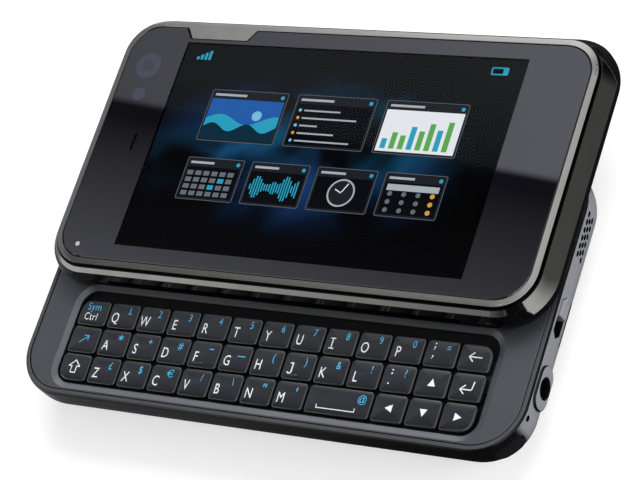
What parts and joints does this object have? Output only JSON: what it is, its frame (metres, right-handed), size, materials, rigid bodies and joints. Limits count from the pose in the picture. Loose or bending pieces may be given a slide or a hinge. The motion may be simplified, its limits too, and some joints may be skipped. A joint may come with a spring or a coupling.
{
  "type": "slider phone",
  "caption": "Landscape slider phone: screen half on T-rails over a sprung keyboard, kickstand, lens shutter, stylus and lift-off back.",
  "frame": {"origin": "centre of the keyboard half's footprint on its flat back", "axes": "+X along the phone to the headset socket, +Y the way the screen half opens, +Z out of the screen"},
  "size_m": [0.1105, 0.0823, 0.018],
  "materials": {
    "window_glass": "polished glass over a black border, opaque from the front",
    "satin_ring": "satin gunmetal",
    "gloss_black": "glossy black",
    "screen_panel": "dark screen in a steel tray",
    "plate_alloy": "satin light alloy, dark",
    "case_grey": "satin graphite on the ends, glossy black at the front",
    "deck_satin": "satin blue-grey",
    "mat_rubber": "matt black silicone",
    "circuit_board": "solder-masked board with tinned cans",
    "battery_wrap": "grey wrap",
    "speaker_black": "matt black",
    "socket_black": "black moulded",
    "camera_black": "black with a coated lens",
    "screw_steel": "zinc plated",
    "cover_black": "soft-touch black",
    "stand_steel": "satin dark steel",
    "shutter_black": "gloss black",
    "switch_grey": "light grey",
    "side_key_black": "gloss black",
    "stylus_black": "gloss black",
    "keycap_black": "semi-gloss black with printed legends"
  },
  "bodies": {
    "keyboard_half": {"lower_housing": "case_grey", "keyboard_deck": "deck_satin", "key_mat": "mat_rubber", "main_board": "circuit_board", "battery": "battery_wrap", "speakers": "speaker_black", "headset_jack": "socket_black", "camera_module": "camera_black", "housing_screws": "screw_steel"},
    "screen_half": {"display_window": "window_glass", "bezel_frame": "satin_ring", "display_shell": "gloss_black", "lcd_module": "screen_panel", "slide_plate": "plate_alloy"},
    "battery_cover": {"battery_cover": "cover_black"},
    "kickstand": {"kickstand": "stand_steel"},
    "camera_shutter": {"camera_shutter": "shutter_black"},
    "lock_switch": {"lock_switch": "switch_grey"},
    "power_key": {"power_key": "side_key_black"},
    "volume_key": {"volume_key": "side_key_black"},
    "camera_key": {"camera_key": "side_key_black"},
    "stylus": {"stylus": "stylus_black"},
    "key_ctrl": {"key_ctrl": "keycap_black"},
    "key_q": {"key_q": "keycap_black"},
    "key_w": {"key_w": "keycap_black"},
    "key_e": {"key_e": "keycap_black"},
    "key_r": {"key_r": "keycap_black"},
    "key_t": {"key_t": "keycap_black"},
    "key_y": {"key_y": "keycap_black"},
    "key_u": {"key_u": "keycap_black"},
    "key_i": {"key_i": "keycap_black"},
    "key_o": {"key_o": "keycap_black"},
    "key_p": {"key_p": "keycap_black"},
    "key_semicolon": {"key_semicolon": "keycap_black"},
    "key_backspace": {"key_backspace": "keycap_black"},
    "key_fn": {"key_fn": "keycap_black"},
    "key_a": {"key_a": "keycap_black"},
    "key_s": {"key_s": "keycap_black"},
    "key_d": {"key_d": "keycap_black"},
    "key_f": {"key_f": "keycap_black"},
    "key_g": {"key_g": "keycap_black"},
    "key_h": {"key_h": "keycap_black"},
    "key_j": {"key_j": "keycap_black"},
    "key_k": {"key_k": "keycap_black"},
    "key_l": {"key_l": "keycap_black"},
    "key_colon": {"key_colon": "keycap_black"},
    "key_up": {"key_up": "keycap_black"},
    "key_enter": {"key_enter": "keycap_black"},
    "key_shift": {"key_shift": "keycap_black"},
    "key_z": {"key_z": "keycap_black"},
    "key_x": {"key_x": "keycap_black"},
    "key_c": {"key_c": "keycap_black"},
    "key_v": {"key_v": "keycap_black"},
    "key_b": {"key_b": "keycap_black"},
    "key_n": {"key_n": "keycap_black"},
    "key_m": {"key_m": "keycap_black"},
    "key_space": {"key_space": "keycap_black"},
    "key_left": {"key_left": "keycap_black"},
    "key_down": {"key_down": "keycap_black"},
    "key_right": {"key_right": "keycap_black"}
  },
  "joints": [
    {"name": "display_slide", "type": "slide", "parent": "keyboard_half", "child": "screen_half", "axis": [0, 1, 0], "range_m": [-0.0232, 0]},
    {"name": "battery_cover_lift", "type": "slide", "parent": "keyboard_half", "child": "battery_cover", "axis": [0, 0, -1], "range_m": [0, 0.012]},
    {"name": "kickstand_hinge", "type": "hinge", "parent": "battery_cover", "child": "kickstand", "pos_m": [0.0296, 0.0072, 0.0006], "axis": [1, 0, 0], "range_deg": [0, 70]},
    {"name": "camera_shutter_slide", "type": "slide", "parent": "battery_cover", "child": "camera_shutter", "axis": [1, 0, 0], "range_m": [0, 0.0114]},
    {"name": "lock_switch_slide", "type": "slide", "parent": "keyboard_half", "child": "lock_switch", "axis": [0, -1, 0], "range_m": [0, 0.0026], "stiffness_N_per_m": 150},
    {"name": "power_key_press", "type": "slide", "parent": "keyboard_half", "child": "power_key", "axis": [0, -1, 0], "range_m": [0, 0.0004], "stiffness_N_per_m": 600},
    {"name": "camera_key_press", "type": "slide", "parent": "keyboard_half", "child": "camera_key", "axis": [0, -1, 0], "range_m": [0, 0.0004], "stiffness_N_per_m": 600},
    {"name": "volume_key_rock", "type": "hinge", "parent": "keyboard_half", "child": "volume_key", "pos_m": [-0.036, 0.0286, 0.0088], "axis": [0, 0, 1], "range_deg": [-1.2, 1.2], "stiffness_Nm_per_rad": 0.3},
    {"name": "stylus_pull", "type": "slide", "parent": "keyboard_half", "child": "stylus", "axis": [1, 0, 0], "range_m": [0, 0.074]},
    {"name": "key_ctrl_press", "type": "slide", "parent": "keyboard_half", "child": "key_ctrl", "axis": [0, 0, -1], "range_m": [0, 0.00025], "stiffness_N_per_m": 400},
    {"name": "key_q_press", "type": "slide", "parent": "keyboard_half", "child": "key_q", "axis": [0, 0, -1], "range_m": [0, 0.00025], "stiffness_N_per_m": 400},
    {"name": "key_w_press", "type": "slide", "parent": "keyboard_half", "child": "key_w", "axis": [0, 0, -1], "range_m": [0, 0.00025], "stiffness_N_per_m": 400},
    {"name": "key_e_press", "type": "slide", "parent": "keyboard_half", "child": "key_e", "axis": [0, 0, -1], "range_m": [0, 0.00025], "stiffness_N_per_m": 400},
    {"name": "key_r_press", "type": "slide", "parent": "keyboard_half", "child": "key_r", "axis": [0, 0, -1], "range_m": [0, 0.00025], "stiffness_N_per_m": 400},
    {"name": "key_t_press", "type": "slide", "parent": "keyboard_half", "child": "key_t", "axis": [0, 0, -1], "range_m": [0, 0.00025], "stiffness_N_per_m": 400},
    {"name": "key_y_press", "type": "slide", "parent": "keyboard_half", "child": "key_y", "axis": [0, 0, -1], "range_m": [0, 0.00025], "stiffness_N_per_m": 400},
    {"name": "key_u_press", "type": "slide", "parent": "keyboard_half", "child": "key_u", "axis": [0, 0, -1], "range_m": [0, 0.00025], "stiffness_N_per_m": 400},
    {"name": "key_i_press", "type": "slide", "parent": "keyboard_half", "child": "key_i", "axis": [0, 0, -1], "range_m": [0, 0.00025], "stiffness_N_per_m": 400},
    {"name": "key_o_press", "type": "slide", "parent": "keyboard_half", "child": "key_o", "axis": [0, 0, -1], "range_m": [0, 0.00025], "stiffness_N_per_m": 400},
    {"name": "key_p_press", "type": "slide", "parent": "keyboard_half", "child": "key_p", "axis": [0, 0, -1], "range_m": [0, 0.00025], "stiffness_N_per_m": 400},
    {"name": "key_semicolon_press", "type": "slide", "parent": "keyboard_half", "child": "key_semicolon", "axis": [0, 0, -1], "range_m": [0, 0.00025], "stiffness_N_per_m": 400},
    {"name": "key_backspace_press", "type": "slide", "parent": "keyboard_half", "child": "key_backspace", "axis": [0, 0, -1], "range_m": [0, 0.00025], "stiffness_N_per_m": 400},
    {"name": "key_fn_press", "type": "slide", "parent": "keyboard_half", "child": "key_fn", "axis": [0, 0, -1], "range_m": [0, 0.00025], "stiffness_N_per_m": 400},
    {"name": "key_a_press", "type": "slide", "parent": "keyboard_half", "child": "key_a", "axis": [0, 0, -1], "range_m": [0, 0.00025], "stiffness_N_per_m": 400},
    {"name": "key_s_press", "type": "slide", "parent": "keyboard_half", "child": "key_s", "axis": [0, 0, -1], "range_m": [0, 0.00025], "stiffness_N_per_m": 400},
    {"name": "key_d_press", "type": "slide", "parent": "keyboard_half", "child": "key_d", "axis": [0, 0, -1], "range_m": [0, 0.00025], "stiffness_N_per_m": 400},
    {"name": "key_f_press", "type": "slide", "parent": "keyboard_half", "child": "key_f", "axis": [0, 0, -1], "range_m": [0, 0.00025], "stiffness_N_per_m": 400},
    {"name": "key_g_press", "type": "slide", "parent": "keyboard_half", "child": "key_g", "axis": [0, 0, -1], "range_m": [0, 0.00025], "stiffness_N_per_m": 400},
    {"name": "key_h_press", "type": "slide", "parent": "keyboard_half", "child": "key_h", "axis": [0, 0, -1], "range_m": [0, 0.00025], "stiffness_N_per_m": 400},
    {"name": "key_j_press", "type": "slide", "parent": "keyboard_half", "child": "key_j", "axis": [0, 0, -1], "range_m": [0, 0.00025], "stiffness_N_per_m": 400},
    {"name": "key_k_press", "type": "slide", "parent": "keyboard_half", "child": "key_k", "axis": [0, 0, -1], "range_m": [0, 0.00025], "stiffness_N_per_m": 400},
    {"name": "key_l_press", "type": "slide", "parent": "keyboard_half", "child": "key_l", "axis": [0, 0, -1], "range_m": [0, 0.00025], "stiffness_N_per_m": 400},
    {"name": "key_colon_press", "type": "slide", "parent": "keyboard_half", "child": "key_colon", "axis": [0, 0, -1], "range_m": [0, 0.00025], "stiffness_N_per_m": 400},
    {"name": "key_up_press", "type": "slide", "parent": "keyboard_half", "child": "key_up", "axis": [0, 0, -1], "range_m": [0, 0.00025], "stiffness_N_per_m": 400},
    {"name": "key_enter_press", "type": "slide", "parent": "keyboard_half", "child": "key_enter", "axis": [0, 0, -1], "range_m": [0, 0.00025], "stiffness_N_per_m": 400},
    {"name": "key_shift_press", "type": "slide", "parent": "keyboard_half", "child": "key_shift", "axis": [0, 0, -1], "range_m": [0, 0.00025], "stiffness_N_per_m": 400},
    {"name": "key_z_press", "type": "slide", "parent": "keyboard_half", "child": "key_z", "axis": [0, 0, -1], "range_m": [0, 0.00025], "stiffness_N_per_m": 400},
    {"name": "key_x_press", "type": "slide", "parent": "keyboard_half", "child": "key_x", "axis": [0, 0, -1], "range_m": [0, 0.00025], "stiffness_N_per_m": 400},
    {"name": "key_c_press", "type": "slide", "parent": "keyboard_half", "child": "key_c", "axis": [0, 0, -1], "range_m": [0, 0.00025], "stiffness_N_per_m": 400},
    {"name": "key_v_press", "type": "slide", "parent": "keyboard_half", "child": "key_v", "axis": [0, 0, -1], "range_m": [0, 0.00025], "stiffness_N_per_m": 400},
    {"name": "key_b_press", "type": "slide", "parent": "keyboard_half", "child": "key_b", "axis": [0, 0, -1], "range_m": [0, 0.00025], "stiffness_N_per_m": 400},
    {"name": "key_n_press", "type": "slide", "parent": "keyboard_half", "child": "key_n", "axis": [0, 0, -1], "range_m": [0, 0.00025], "stiffness_N_per_m": 400},
    {"name": "key_m_press", "type": "slide", "parent": "keyboard_half", "child": "key_m", "axis": [0, 0, -1], "range_m": [0, 0.00025], "stiffness_N_per_m": 400},
    {"name": "key_space_press", "type": "slide", "parent": "keyboard_half", "child": "key_space", "axis": [0, 0, -1], "range_m": [0, 0.00025], "stiffness_N_per_m": 400},
    {"name": "key_left_press", "type": "slide", "parent": "keyboard_half", "child": "key_left", "axis": [0, 0, -1], "range_m": [0, 0.00025], "stiffness_N_per_m": 400},
    {"name": "key_down_press", "type": "slide", "parent": "keyboard_half", "child": "key_down", "axis": [0, 0, -1], "range_m": [0, 0.00025], "stiffness_N_per_m": 400},
    {"name": "key_right_press", "type": "slide", "parent": "keyboard_half", "child": "key_right", "axis": [0, 0, -1], "range_m": [0, 0.00025], "stiffness_N_per_m": 400}
  ]
}
